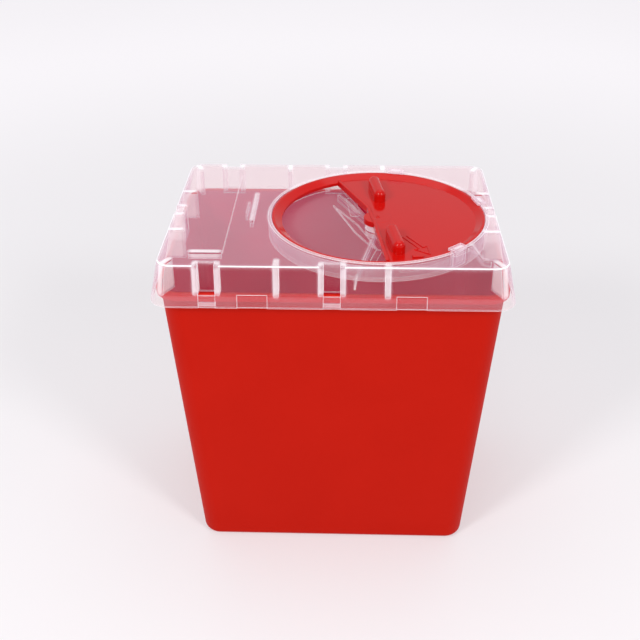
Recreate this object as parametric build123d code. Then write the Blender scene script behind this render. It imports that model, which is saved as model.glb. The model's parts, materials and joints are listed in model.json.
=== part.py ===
"""Sharps container with a press-on clear lid and a turning rotor that closes its drop opening.

Millimetres, +Z up, +X to the right, the front faces -Y.
The origin is on the ground under the middle of the container.
"""
import os
from math import cos, degrees, radians, sin

from build123d import *

# ---------------------------------------------------------------- driving sizes
# Container: a tapered bin with an outward rim
BIN_TOP_X = 240.4        # outside width of the wall at the rim
BIN_TOP_Y = 176.6        # outside depth of the wall at the rim
BIN_HEIGHT = 233.5       # ground to the top of the rim
BIN_DRAFT_X = 15.2       # how far each end wall leans in from rim to ground
BIN_DRAFT_Y = 10.5       # the same for the front and back walls
BIN_WALL = 1.8
BIN_FLOOR = 2.6
BIN_CORNER_R = 14.0
BIN_BASE_R = 5.0         # rounding where the walls meet the base
FOOT_WIDTH = 13.0        # standing rim round the recessed base
FOOT_RECESS = 1.2
RIM_OUT_X = 2.6          # rim overhang past the end walls
RIM_OUT_Y = 4.0          # rim overhang past the front and back walls
RIM_THICK = 2.0
RIM_LIP = 1.3            # thickness of the rim's turned-down lip
RIM_DEPTH = 4.4          # rim top to the lip's lower edge

# Lid: a shallow clear cap whose wall flares down over the rim
LID_WALL = 1.6
LID_HEIGHT = 30.1        # bottom edge to deck top
LID_DROP = 7.6           # bottom edge below the top of the rim
LID_FLARE_X = 6.8        # how far each end wall flares out from deck to bottom edge
LID_FLARE_Y = 4.9        # the same for the front and back walls
LID_CORNER_R = 15.0      # at the bottom edge
DECK_CORNER_R = 11.0
DECK_EDGE_R = 1.1
RIM_GAP = 0.5            # rim edge to the inside of the lid wall

# Ribs that stand the lid on the rim
POST_THICK = 3.2
POST_REACH = 12.0        # how far a post reaches in from the deck's edge
POST_X = 38.0            # front and back posts, each side of the middle
POST_Y = 34.0            # end posts, each side of the middle
CORNER_POST_INSET = 4.0  # outer end of a corner post, in from the deck's corner
CORNER_POST_ANGLE = 62.0 # plan angle of a corner post from the X direction

# Snap hooks under the rim, each below an open-bottomed pocket in the lid wall
HOOK_WIDTH = 11.6
HOOK_BITE = 1.5          # how far a hook reaches in under the rim's lip
HOOK_HEIGHT = 2.6
HOOK_GAP = 0.4           # rim lip to the hook
POCKET_GAP = 1.0         # rim top to the pocket's lower edge
POCKET_DROP = 1.4        # the back panel hangs this much lower, inside the bin's wall
POCKET_DEPTH = 5.8       # deck edge to the pocket's back panel
POCKET_FRAME = 3.2       # side wall of a pocket
POCKET_PITCH_X = 85.5    # left pocket to the middle one, front and back
PAD_WIDTH = 20.6         # thinned panels low in the front and back walls
PAD_HEIGHT = 9.4
PAD_SINK = 0.7
PAD_X = 54.4
TONGUE_SINK = 0.4        # the wall below a pocket is thinned so that it can flex

# Ribs under the deck, left of the well
BAR_THICK = 2.4
BAR_DROP = 3.5
LONG_BAR = (-19.5, 32.6) # its ends along Y
SHORT_BAR = (-7.9, 16.3)
LONG_BAR_OFF = 13.6      # from the well's wall
BAR_STEP = 4.8           # long bar to short bar
FRONT_BAR_THICK = 3.4
FRONT_BAR_DROP = 3.5
FRONT_BAR_LENGTH = 23.2
FRONT_BAR_Y = 22.0       # in from the deck's front edge
FRONT_BAR_SHIFT = 3.0    # left of the pocket's middle
SCORE_WIDTH = 0.5
SCORE_DEPTH = 0.3
TIE_RIB_ANGLE = -37.0    # where the tie rib leaves the well's wall
TIE_RIB_KNEE = 3.0

# Rotor well in the deck
WELL_X = 32.5
WELL_Y = -4.3
WELL_R = 79.6            # inside of the well's wall
WELL_WALL = 2.2
WELL_DEPTH = 13.4        # deck top to the underside of the well
WELL_LIP = 0.4           # the wall's rise above the deck
WELL_FLOOR = 1.6
LEDGE_WIDTH = 9.6        # ring left all round the drop opening
FLOOR_FROM = 111.0       # the fixed floor closes the left half, degrees from +X
FLOOR_TO = 282.0
HUB_R = 9.0
HUB_TOP_GAP = 0.3        # rotor hub to lid hub
HUB_BELOW = 3.4          # hub below the well floor
FLOOR_RIB = 1.4
FLOOR_RIB_DROP = 5.0
FLOOR_RIB_INSET = (5.0, 24.0)   # degrees in from the fixed floor's two ends
GUSSET_DROP = 7.5
BLADE_DROP = 1.0         # the two bowed ribs under the fixed floor
BLADE_WIDTH = 0.8
BLADE_LEFT = ((-0.486, 0.616), (-0.36, 0.27), (-0.24, -0.067), (-0.12, -0.31), (-0.016, -0.463))
BLADE_RIGHT = ((-0.486, 0.616), (-0.34, 0.35), (-0.213, 0.12), (-0.10, -0.19), (-0.016, -0.463))
TONGUE = ((-0.29, 0.83), (-0.235, 0.34))   # a flat rib, as shares of the opening's radius
TONGUE_WIDTH = 7.6
STRIP = ((0.01, -0.48), (-0.06, -0.74))
STRIP_WIDTH = 4.4
STRIP_DROP = 0.6         # thickness of the tongue and the strip

# Clips that hold the rotor down
CLIP_ANGLES = {"back": 78.5, "right": 15.5, "front": -47.5}
CLIP_WIDTH = 12.5
CLIP_BITE = 2.8          # over the rotor's rim
CLIP_TAIL = 3.6          # head behind the well's wall
CLIP_ROUND = 1.2
CLIP_THICK = 1.7
CLIP_GAP = 0.5           # rotor rim to clip, and clip to the slit's sides
CLIP_SLIT = 2.6          # room behind a clip for it to spring back

# Rotor
ROTOR_ANGLE = 9.0        # how far it is turned at rest
ROTOR_GAP = 0.6          # rim to the well's wall
ROTOR_RIM_WIDTH = 1.8    # flat top of the rim
ROTOR_SLOPE = 5.6        # the dished ring leans in by this much
ROTOR_DISH = 3.4         # rim top to the ring's inner edge
ROTOR_WALL = 2.0
ROTOR_SKIRT = 6.0        # rim top to the lower edge of the short skirt under the ring
SKIRT_WALL = 1.6
PLATE_SINK = 3.0         # rim top to plate
PLATE_THICK = 1.8
EDGE_WALL = 2.6          # thickness of the upstand on the plate's straight edges
EDGE_RISE = 1.0
EDGE_DROP = 5.0
EDGE_BACK = ((-0.27, 1.0), (-0.06, 0.233))       # as shares of the dish radius
EDGE_FRONT = ((-0.057, -0.14), (-0.079, -0.99))
ROTOR_HUB_R = 10.5
PIVOT_R = 4.0
PIVOT_CLEARANCE = 0.08   # radial running fit in the lid's hub
KNOB_LENGTH = 34.0
KNOB_WIDTH = 9.0
KNOB_HEIGHT = 9.0
KNOB_ROUND = 4.2
KNOB_PLACES = ((0.060, -0.640), (0.094, 0.594))  # middles of the knobs, as shares of the dish radius
ARROW_TAIL = (0.183, -0.496)
ARROW_TIP = (0.353, -0.912)
ARROW_SHAFT = 3.4        # width between the shaft's two lines
ARROW_HEAD = 10.5        # width of the head
ARROW_HEAD_SHARE = 0.36  # of the arrow's length
ARROW_LINE = 0.9
CATCH_PLACE = (0.222, -0.955)
CATCH_LENGTH = 8.0
CATCH_WIDTH = 4.0
CATCH_RISE = 1.6
EMBOSS = 0.5
STOP_LENGTH = 5.0
STOP_CLEAR = 0.6         # lug and stop block: room above and below

OVERRUN = 1.0            # cutters run this far past a face

# ---------------------------------------------------------------- derived sizes
RIM_TOP = BIN_HEIGHT
LID_BOTTOM = RIM_TOP - LID_DROP
DECK_TOP = LID_BOTTOM + LID_HEIGHT
DECK_UNDER = DECK_TOP - LID_WALL
RIM_X = BIN_TOP_X + 2 * RIM_OUT_X
RIM_Y = BIN_TOP_Y + 2 * RIM_OUT_Y
RIM_R = BIN_CORNER_R + RIM_OUT_X
RIM_LEVEL = LID_DROP / LID_HEIGHT                     # share of the flare at the rim
LID_X = RIM_X + 2 * (RIM_GAP + LID_WALL + LID_FLARE_X * RIM_LEVEL)
LID_Y = RIM_Y + 2 * (RIM_GAP + LID_WALL + LID_FLARE_Y * RIM_LEVEL)
DECK_X = LID_X - 2 * LID_FLARE_X
DECK_Y = LID_Y - 2 * LID_FLARE_Y
WELL_BOTTOM = DECK_TOP - WELL_DEPTH
FLOOR_TOP = WELL_BOTTOM + WELL_FLOOR
OPENING_R = WELL_R - LEDGE_WIDTH
ROTOR_TOP = DECK_TOP
ROTOR_R = WELL_R - ROTOR_GAP
SKIRT_BOTTOM = ROTOR_TOP - ROTOR_SKIRT
DISH_TOP_R = ROTOR_R - ROTOR_RIM_WIDTH
DISH_R = DISH_TOP_R - ROTOR_SLOPE
SKIRT_R = DISH_R + ROTOR_WALL
PLATE_TOP = ROTOR_TOP - PLATE_SINK
PLATE_UNDER = PLATE_TOP - PLATE_THICK
ROTOR_HUB_UNDER = PLATE_TOP + EDGE_RISE - EDGE_DROP
HUB_TOP = ROTOR_HUB_UNDER - HUB_TOP_GAP
HUB_BOTTOM = WELL_BOTTOM - HUB_BELOW

WELL_CENTRE = Pos(WELL_X, WELL_Y, 0)
UP = (Align.CENTER, Align.CENTER, Align.MIN)
OUTWARD = (Align.MIN, Align.CENTER, Align.MIN)


# ---------------------------------------------------------------- helpers
def block(x0, x1, y0, y1, z0, z1):
    """A box given by its two corners."""
    return Pos(x0, y0, z0) * Box(x1 - x0, y1 - y0, z1 - z0, align=(Align.MIN,) * 3)


def disc(radius, z0, z1):
    """An upright cylinder on the Z axis between two heights."""
    return Pos(0, 0, z0) * Cylinder(radius, z1 - z0, align=UP)


def tapered(x0, y0, r0, z0, x1, y1, r1, z1):
    """A block with rounded corners that changes size from z0 to z1."""
    low = Pos(0, 0, z0) * RectangleRounded(x0, y0, r0)
    high = Pos(0, 0, z1) * RectangleRounded(x1, y1, r1)
    return loft([low, high])


def sector(radius, start, stop, z0, z1):
    """A pie slice about the Z axis, from one angle to another."""
    far = 2 * radius
    steps = 8
    points = [(0, 0)]
    for index in range(steps + 1):
        angle = radians(start + (stop - start) * index / steps)
        points.append((far * cos(angle), far * sin(angle)))
    wedge = extrude(make_face(Polyline(*points, close=True)), z1 - z0)
    return disc(radius, z0, z1) & (Pos(0, 0, z0) * wedge)


def stroke(points, width, z0, z1):
    """A raised line of even width through the points."""
    return Pos(0, 0, z0) * extrude(trace(Polyline(*points), width), z1 - z0)


# ---------------------------------------------------------------- container
def make_container():
    """The red bin: four leaning walls, a recessed base and an outward rim with a turned-down lip."""
    low_x = BIN_TOP_X - 2 * BIN_DRAFT_X
    low_y = BIN_TOP_Y - 2 * BIN_DRAFT_Y
    outside = tapered(low_x, low_y, BIN_CORNER_R, 0, BIN_TOP_X, BIN_TOP_Y, BIN_CORNER_R, RIM_TOP)
    outside = fillet(outside.faces().sort_by(Axis.Z)[0].edges(), BIN_BASE_R)
    floor_share = BIN_FLOOR / RIM_TOP
    in_r = BIN_CORNER_R - BIN_WALL
    in_x = low_x + 2 * BIN_DRAFT_X * floor_share - 2 * BIN_WALL
    in_y = low_y + 2 * BIN_DRAFT_Y * floor_share - 2 * BIN_WALL
    over = 1 + OVERRUN / RIM_TOP
    top_x = low_x + 2 * BIN_DRAFT_X * over - 2 * BIN_WALL
    top_y = low_y + 2 * BIN_DRAFT_Y * over - 2 * BIN_WALL
    inside = tapered(in_x, in_y, in_r, BIN_FLOOR, top_x, top_y, in_r, RIM_TOP + OVERRUN)
    inside = fillet(inside.faces().sort_by(Axis.Z)[0].edges(), BIN_BASE_R - BIN_WALL)
    rim = Pos(0, 0, RIM_TOP - RIM_DEPTH) * extrude(RectangleRounded(RIM_X, RIM_Y, RIM_R), RIM_DEPTH)
    rim = fillet(rim.faces().sort_by(Axis.Z)[-1].outer_wire().edges(), RIM_THICK / 3)
    hollow_x = RIM_X - 2 * RIM_LIP
    hollow_y = RIM_Y - 2 * RIM_LIP
    hollow = extrude(RectangleRounded(hollow_x, hollow_y, RIM_R - RIM_LIP), RIM_DEPTH - RIM_THICK + OVERRUN)
    rim -= Pos(0, 0, RIM_TOP - RIM_DEPTH - OVERRUN) * hollow
    foot_x = low_x - 2 * FOOT_WIDTH
    foot_y = low_y - 2 * FOOT_WIDTH
    recess = extrude(RectangleRounded(foot_x, foot_y, BIN_CORNER_R / 2), FOOT_RECESS)
    return outside + rim - inside - recess


# ---------------------------------------------------------------- lid
def end_frames():
    """Frames at the middle of each deck edge: X runs in from the edge, Y along it."""
    half_x = DECK_X / 2
    half_y = DECK_Y / 2
    return {
        "front": Pos(0, -half_y, 0) * Rot(0, 0, 90),
        "back": Pos(0, half_y, 0) * Rot(0, 0, -90),
        "left": Pos(-half_x, 0, 0),
        "right": Pos(half_x, 0, 0) * Rot(0, 0, 180),
    }


def along(side, distance):
    """The edge coordinate of a place measured along +X or +Y."""
    return -distance if side in ("front", "right") else distance


def flare(side):
    """How far that wall flares out below the deck."""
    return LID_FLARE_Y if side in ("front", "back") else LID_FLARE_X


def make_post(side, distance):
    """An upright rib inside the wall that stands on the rim, with a rounded inner edge."""
    nose = POST_REACH - POST_THICK / 2
    web = Box(nose + flare(side), POST_THICK, DECK_UNDER - RIM_TOP, align=OUTWARD)
    bead = Pos(nose, 0, 0) * Cylinder(POST_THICK / 2, DECK_UNDER - RIM_TOP, align=UP)
    post = Pos(-flare(side), 0, 0) * web + bead
    return end_frames()[side] * Pos(0, along(side, distance), RIM_TOP) * post


def make_corner_post(sign_x, sign_y):
    """An upright rib across a corner of the lid, with a rounded inner edge."""
    angle = radians(CORNER_POST_ANGLE)
    out_x = DECK_X / 2 - CORNER_POST_INSET
    out_y = DECK_Y / 2 - CORNER_POST_INSET / 2
    height = DECK_UNDER - RIM_TOP
    nose = POST_REACH - POST_THICK / 2
    post = Pos(-LID_FLARE_Y, 0, 0) * Box(nose + LID_FLARE_Y, POST_THICK, height, align=OUTWARD)
    post += Pos(nose, 0, 0) * Cylinder(POST_THICK / 2, height, align=UP)
    inward = degrees(angle) if sign_x * sign_y > 0 else 180 - degrees(angle)
    turn = inward + (180 if sign_y > 0 else 0)
    return Pos(sign_x * out_x, sign_y * out_y, RIM_TOP) * Rot(0, 0, turn) * post


def pocket_places():
    """Each pocket's side and its distance along it."""
    return [("front", -POCKET_PITCH_X), ("front", 0), ("back", -POCKET_PITCH_X), ("back", 0),
            ("left", 0), ("right", 0)]


def make_pocket(side, distance):
    """The pocket's frame of three walls, open at the bottom above its hook."""
    height = DECK_TOP - RIM_TOP - POCKET_GAP
    width = HOOK_WIDTH + 2 * POCKET_FRAME
    reach = flare(side) * height / LID_HEIGHT
    frame = Pos(-reach, 0, 0) * Box(POCKET_DEPTH + LID_WALL + reach, width, height, align=OUTWARD)
    frame += Pos(POCKET_DEPTH, 0, -POCKET_DROP) * Box(LID_WALL, width, height, align=OUTWARD)
    return end_frames()[side] * Pos(0, along(side, distance), RIM_TOP + POCKET_GAP) * frame


def cut_pocket(side, distance):
    """The open space of a pocket, from above the deck down through its floor."""
    height = DECK_TOP - RIM_TOP - POCKET_GAP
    reach = POCKET_DEPTH + LID_FLARE_X + OVERRUN
    space = Box(reach, HOOK_WIDTH, height + OVERRUN, align=OUTWARD)
    place = Pos(POCKET_DEPTH - reach, along(side, distance), RIM_TOP + POCKET_GAP)
    return end_frames()[side] * place * space


def make_hook(side, distance):
    """A square-topped barb inside the wall, just under the rim."""
    top = RIM_TOP - RIM_DEPTH - HOOK_GAP
    half = RIM_Y / 2 if side in ("front", "back") else RIM_X / 2
    deck_half = DECK_Y / 2 if side in ("front", "back") else DECK_X / 2
    tip = deck_half - half + HOOK_BITE
    root = -flare(side)
    points = [(root, top), (tip, top), (tip, top - HOOK_HEIGHT / 3), (root, top - HOOK_HEIGHT)]
    barb = extrude(make_face(Plane.XZ * Polyline(*points, close=True)), HOOK_WIDTH / 2, both=True)
    return end_frames()[side] * Pos(0, along(side, distance), 0) * barb


def lid_skin(inset, top):
    """The lid's flared outline, taken in by a wall thickness, up to a height."""
    share = (top - LID_BOTTOM) / LID_HEIGHT
    top_r = LID_CORNER_R - (LID_CORNER_R - DECK_CORNER_R) * share
    return tapered(
        LID_X - 2 * inset, LID_Y - 2 * inset, LID_CORNER_R - inset, LID_BOTTOM,
        LID_X - 2 * inset - 2 * LID_FLARE_X * share, LID_Y - 2 * inset - 2 * LID_FLARE_Y * share,
        top_r - inset, top)


def thinning(side, distance, width, height, sink):
    """A cutter that thins a low panel of the lid's wall from outside."""
    slope = flare(side) / LID_HEIGHT
    foot = sink - flare(side)
    head = foot + slope * height
    out = foot - sink - OVERRUN
    points = [(foot, 0), (head, height), (out, height), (out, 0)]
    face = make_face(Plane.XZ * Polyline(*points, close=True))
    panel = Pos(0, along(side, distance), LID_BOTTOM) * extrude(face, width / 2, both=True)
    return end_frames()[side] * panel


def thin_panels():
    """Cutters for the pads in the front and back walls and the tongue below each pocket."""
    cutters = []
    for side in ("front", "back"):
        for distance in (-PAD_X, PAD_X):
            cutters.append(thinning(side, distance, PAD_WIDTH, PAD_HEIGHT, PAD_SINK))
    tongue_height = RIM_TOP + POCKET_GAP - LID_BOTTOM
    for side, distance in pocket_places():
        cutters.append(thinning(side, distance, HOOK_WIDTH, tongue_height, TONGUE_SINK))
    return cutters


def deck_ribs():
    """Short ribs under the deck left of the well, and a thin score line across it."""
    half = BAR_THICK / 2
    front_half = FRONT_BAR_THICK / 2
    low = DECK_UNDER - BAR_DROP
    long_x = WELL_X - WELL_R - LONG_BAR_OFF
    short_x = long_x - BAR_STEP
    bar_x = -POCKET_PITCH_X - FRONT_BAR_SHIFT
    bar_y = -DECK_Y / 2 + FRONT_BAR_Y
    bar_half = FRONT_BAR_LENGTH / 2
    score_x = bar_x + bar_half + SCORE_WIDTH
    score = block(score_x - SCORE_WIDTH / 2, score_x + SCORE_WIDTH / 2, bar_y, -bar_y,
                  DECK_UNDER - SCORE_DEPTH, DECK_UNDER)
    return [
        block(long_x - half, long_x + half, *LONG_BAR, low, DECK_UNDER),
        block(short_x - half / 2, short_x + half / 2, *SHORT_BAR, low, DECK_UNDER),
        block(bar_x - bar_half, bar_x + bar_half, bar_y - front_half, bar_y + front_half,
              DECK_UNDER - FRONT_BAR_DROP, DECK_UNDER),
        score,
    ]


def tie_rib():
    """A low rib that ties the well's wall to the front right corner post."""
    start_angle = radians(TIE_RIB_ANGLE)
    outer = WELL_R + WELL_WALL / 2
    start = (WELL_X + outer * cos(start_angle), WELL_Y + outer * sin(start_angle))
    end = (DECK_X / 2 - POST_REACH, -DECK_Y / 2 + POST_REACH)
    knee = ((start[0] + end[0]) / 2, end[1] + TIE_RIB_KNEE)
    return stroke([start, knee, end], FLOOR_RIB, DECK_UNDER - BAR_DROP, DECK_UNDER)


def shares(points, radius):
    """Points given as shares of a radius."""
    return [(x * radius, y * radius) for x, y in points]


def make_well():
    """The well's wall, its ledge, the fixed half floor, its hub and its ribs, about the Z axis."""
    outer = WELL_R + WELL_WALL
    wall = disc(outer, WELL_BOTTOM, DECK_TOP + WELL_LIP) - disc(WELL_R, FLOOR_TOP, DECK_TOP + OVERRUN)
    opening = disc(OPENING_R, WELL_BOTTOM - OVERRUN, FLOOR_TOP + OVERRUN)
    opening -= sector(OPENING_R, FLOOR_FROM, FLOOR_TO, WELL_BOTTOM - OVERRUN, FLOOR_TOP + OVERRUN)
    well = wall - opening
    well += disc(HUB_R, HUB_BOTTOM, HUB_TOP)
    low = WELL_BOTTOM - FLOOR_RIB_DROP
    rib_angles = (FLOOR_FROM + FLOOR_RIB_INSET[0], FLOOR_TO - FLOOR_RIB_INSET[1])
    for angle in rib_angles:
        rib = block(HUB_R / 2, OPENING_R, -FLOOR_RIB / 2, FLOOR_RIB / 2, low, WELL_BOTTOM)
        well += Rot(0, 0, angle) * rib
    for points in (BLADE_LEFT, BLADE_RIGHT):
        well += stroke(shares(points, OPENING_R), BLADE_WIDTH, WELL_BOTTOM - BLADE_DROP, WELL_BOTTOM)
    for points, width in ((TONGUE, TONGUE_WIDTH), (STRIP, STRIP_WIDTH)):
        pad = stroke(shares(points, OPENING_R), width, WELL_BOTTOM - STRIP_DROP, WELL_BOTTOM)
        well += fillet(pad.edges().filter_by(Axis.Z), width / 3)
    inner = OPENING_R + WELL_WALL
    gusset_face = make_face(Polyline((inner, 0), (outer, 0), (outer, -GUSSET_DROP), close=True))
    gusset = Rot(90, 0, 0) * extrude(gusset_face, FLOOR_RIB / 2, both=True)
    well += Rot(0, 0, rib_angles[1]) * Pos(0, 0, WELL_BOTTOM) * gusset
    return well - disc(PIVOT_R + PIVOT_CLEARANCE, HUB_BOTTOM - OVERRUN, HUB_TOP + OVERRUN)


def stop_block(angle, z0, z1):
    """A small block on the ledge or under the rotor's skirt that stops the rotor's turn."""
    inner = SKIRT_R - SKIRT_WALL
    return Rot(0, 0, angle) * block(inner, SKIRT_R, -STOP_LENGTH / 2, STOP_LENGTH / 2, z0, z1)


def clip_slit(angle):
    """The slit in the well's wall and deck that a clip sits in."""
    width = CLIP_WIDTH + 2 * CLIP_GAP
    far = WELL_R + WELL_WALL + CLIP_SLIT
    low = FLOOR_TOP
    return Rot(0, 0, angle) * block(WELL_R - CLIP_BITE, far, -width / 2, width / 2, low, DECK_TOP + OVERRUN)


def make_lid():
    """The clear lid in one moulding."""
    shell = lid_skin(0, DECK_TOP)
    shell = fillet(shell.faces().sort_by(Axis.Z)[-1].edges(), DECK_EDGE_R)
    shell -= lid_skin(LID_WALL, DECK_UNDER)
    inside = lid_skin(LID_WALL / 2, DECK_TOP - LID_WALL / 2)
    posts = [make_post(side, x) for side in ("front", "back") for x in (-POST_X, POST_X)]
    posts += [make_post(side, y) for side in ("left", "right") for y in (-POST_Y, POST_Y)]
    posts += [make_corner_post(x, y) for x in (-1, 1) for y in (-1, 1)]
    for post in posts:
        shell += post & inside
    for rib in deck_ribs():
        shell += rib
    shell += tie_rib()
    for side, distance in pocket_places():
        shell += make_pocket(side, distance) & lid_skin(0, DECK_TOP)
    for side, distance in pocket_places():
        shell -= cut_pocket(side, distance)
        shell += make_hook(side, distance) & inside
    for panel in thin_panels():
        shell -= panel
    shell -= WELL_CENTRE * disc(WELL_R + WELL_WALL / 2, WELL_BOTTOM, DECK_TOP + OVERRUN)
    shell += WELL_CENTRE * make_well()
    block_angle = degrees((STOP_LENGTH + STOP_CLEAR) / (SKIRT_R - SKIRT_WALL))
    rest_angle = 180 + ROTOR_ANGLE
    stop_top = SKIRT_BOTTOM - STOP_CLEAR / 2
    for angle in (rest_angle - block_angle, rest_angle + 180 + block_angle):
        shell += WELL_CENTRE * stop_block(angle, FLOOR_TOP, stop_top)
    for angle in CLIP_ANGLES.values():
        shell -= WELL_CENTRE * clip_slit(angle)
    return shell


# ---------------------------------------------------------------- clips
def make_clip(angle):
    """A springy upright with a head that hooks over the rotor's rim."""
    low = FLOOR_TOP + HUB_TOP_GAP
    head_low = ROTOR_TOP + CLIP_GAP
    head_top = head_low + CLIP_THICK
    half = CLIP_WIDTH / 2
    arm = block(WELL_R, WELL_R + WELL_WALL, -half, half, low, head_top)
    sagitta = WELL_R - (WELL_R ** 2 - half ** 2) ** 0.5
    arm -= disc(WELL_R - ROTOR_GAP / 2, low - OVERRUN, head_low)
    head = block(WELL_R - CLIP_BITE - sagitta, WELL_R + CLIP_TAIL, -half, half, head_low, head_top)
    head -= disc(ROTOR_R - CLIP_BITE, head_low - OVERRUN, head_top + OVERRUN)
    clip = arm + head
    clip = fillet(clip.edges().filter_by(Axis.Z).sort_by(Axis.X)[-2:], CLIP_ROUND)
    return WELL_CENTRE * Rot(0, 0, angle) * clip


# ---------------------------------------------------------------- rotor
def rim_profile():
    """Cross-section of the rim, the dished ring and the skirt under it, as radius and height."""
    ring_under = ROTOR_TOP - ROTOR_DISH - ROTOR_WALL
    return [
        (DISH_TOP_R, ROTOR_TOP), (ROTOR_R, ROTOR_TOP), (ROTOR_R, ROTOR_TOP - ROTOR_WALL),
        (SKIRT_R, ring_under), (SKIRT_R, SKIRT_BOTTOM), (SKIRT_R - SKIRT_WALL, SKIRT_BOTTOM),
        (SKIRT_R - SKIRT_WALL, ring_under), (DISH_R, ring_under), (DISH_R, ROTOR_TOP - ROTOR_DISH)]


def arrow_outline():
    """The arrow's outline from one side of its tail round the head to the other."""
    (tail_x, tail_y), (tip_x, tip_y) = shares((ARROW_TAIL, ARROW_TIP), DISH_R)
    length = ((tip_x - tail_x) ** 2 + (tip_y - tail_y) ** 2) ** 0.5
    along_x, along_y = (tip_x - tail_x) / length, (tip_y - tail_y) / length
    neck = length * (1 - ARROW_HEAD_SHARE)
    places = [(0, ARROW_SHAFT / 2), (neck, ARROW_SHAFT / 2), (neck, ARROW_HEAD / 2), (length, 0),
              (neck, -ARROW_HEAD / 2), (neck, -ARROW_SHAFT / 2), (0, -ARROW_SHAFT / 2)]
    return [(tail_x + a * along_x - b * along_y, tail_y + a * along_y + b * along_x) for a, b in places]


def make_rotor():
    """The rotor about the Z axis: rim, dished ring, plate, hub, knobs and pivot, in one moulding."""
    ring = revolve(make_face(Plane.XZ * Polyline(*rim_profile(), close=True)), Axis.Z)
    edge = shares(EDGE_BACK + EDGE_FRONT, DISH_R)
    far = 2 * ROTOR_R
    cover = make_face(Polyline(*edge, (far, -far), (far, far), close=True))
    plate_r = DISH_R + ROTOR_WALL / 2
    plate = Pos(0, 0, PLATE_UNDER) * extrude(cover, PLATE_THICK)
    plate = plate & disc(plate_r, PLATE_UNDER, PLATE_TOP)
    upstand = stroke(edge, EDGE_WALL, ROTOR_HUB_UNDER, PLATE_TOP + EDGE_RISE)
    upstand = upstand & disc(plate_r, ROTOR_HUB_UNDER, PLATE_TOP + EDGE_RISE)
    rotor = ring + plate + upstand
    rotor += disc(ROTOR_HUB_R, ROTOR_HUB_UNDER, PLATE_TOP)
    rotor += disc(PIVOT_R, HUB_BOTTOM - OVERRUN, ROTOR_HUB_UNDER)
    for knob_x, knob_y in shares(KNOB_PLACES, DISH_R):
        rotor += Pos(knob_x, knob_y, PLATE_TOP) * make_knob()
    rotor += stroke(arrow_outline(), ARROW_LINE, PLATE_TOP, PLATE_TOP + EMBOSS)
    catch = Box(CATCH_LENGTH, CATCH_WIDTH, CATCH_RISE, align=UP)
    catch = fillet(catch.edges().filter_by(Axis.Z), CATCH_WIDTH / 3)
    catch_x, catch_y = CATCH_PLACE
    rotor += Pos(catch_x * DISH_R, catch_y * DISH_R, PLATE_TOP) * catch
    rotor += stop_block(180, SKIRT_BOTTOM - STOP_CLEAR, SKIRT_BOTTOM)
    return WELL_CENTRE * Rot(0, 0, ROTOR_ANGLE) * rotor


def make_knob():
    """A finger knob: a long pill with a domed top."""
    pill = extrude(SlotOverall(KNOB_LENGTH, KNOB_WIDTH, rotation=90), KNOB_HEIGHT)
    return fillet(pill.faces().sort_by(Axis.Z)[-1].edges(), KNOB_ROUND)


# ---------------------------------------------------------------- write the pieces
parts = {
    "container": make_container(),
    "lid": make_lid(),
    "rotor": make_rotor(),
}
for name, angle in CLIP_ANGLES.items():
    parts[f"rotor_clip_{name}"] = make_clip(angle)

os.makedirs("parts", exist_ok=True)
for name, part in parts.items():
    export_step(part, f"parts/{name}.step")
    solids = part.solids()
    size = part.bounding_box().size
    print(f"{name}: {len(solids)} solid(s), {part.volume / 1000:.2f} cm3, "
          f"{size.X:.1f} x {size.Y:.1f} x {size.Z:.1f} mm")
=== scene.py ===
# %% [markdown]
# # A sharps container with a clear lid and a turning red rotor
# The object is a tapered red bin, a clear cap that presses on over its rim, and a red rotor with
# two finger knobs that turns in a round well in the cap and closes its drop opening.
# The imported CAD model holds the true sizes. This lesson builds the looks round it, in metres.
#
# Three of the mouldings follow a plain rule: one section is carried along a path. The bin is a wall
# section led round a rounded rectangle, the rotor's ring is a lip section led round a circle, and
# its raised marks are a small bead led along a line. They are made here with Geometry Nodes. The
# clear lid has pockets, posts and ribs that follow no single rule, so it keeps its CAD shape.

# %% Load the frame and measure it
import json
import math

import bmesh
import bpy
from mathutils import Matrix, Vector


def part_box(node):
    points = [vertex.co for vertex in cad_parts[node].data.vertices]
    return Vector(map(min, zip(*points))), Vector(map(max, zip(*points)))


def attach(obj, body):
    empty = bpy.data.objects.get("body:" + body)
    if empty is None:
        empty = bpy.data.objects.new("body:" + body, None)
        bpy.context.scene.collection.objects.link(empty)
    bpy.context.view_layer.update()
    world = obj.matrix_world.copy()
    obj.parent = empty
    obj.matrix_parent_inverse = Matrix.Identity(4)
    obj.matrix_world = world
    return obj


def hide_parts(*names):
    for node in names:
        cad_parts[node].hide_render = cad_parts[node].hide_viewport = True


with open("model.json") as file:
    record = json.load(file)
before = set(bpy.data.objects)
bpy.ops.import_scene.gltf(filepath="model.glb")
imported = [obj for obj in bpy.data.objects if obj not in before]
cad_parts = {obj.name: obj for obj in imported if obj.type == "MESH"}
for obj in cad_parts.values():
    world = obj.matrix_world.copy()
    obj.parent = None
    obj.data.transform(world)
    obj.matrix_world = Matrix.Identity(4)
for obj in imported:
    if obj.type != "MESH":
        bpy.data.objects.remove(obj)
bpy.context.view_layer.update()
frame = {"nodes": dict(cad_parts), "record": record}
scene = bpy.context.scene
scene.view_settings.view_transform = "Standard"

# %% [markdown]
# ## Sizes that the pieces share
# Nothing is placed by eye. The boxes of the CAD pieces give the outer sizes, and the turning joint
# in the record gives the rotor's centre. Only wall thicknesses and roundings, which a box can't
# tell, are written down as numbers.

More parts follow.
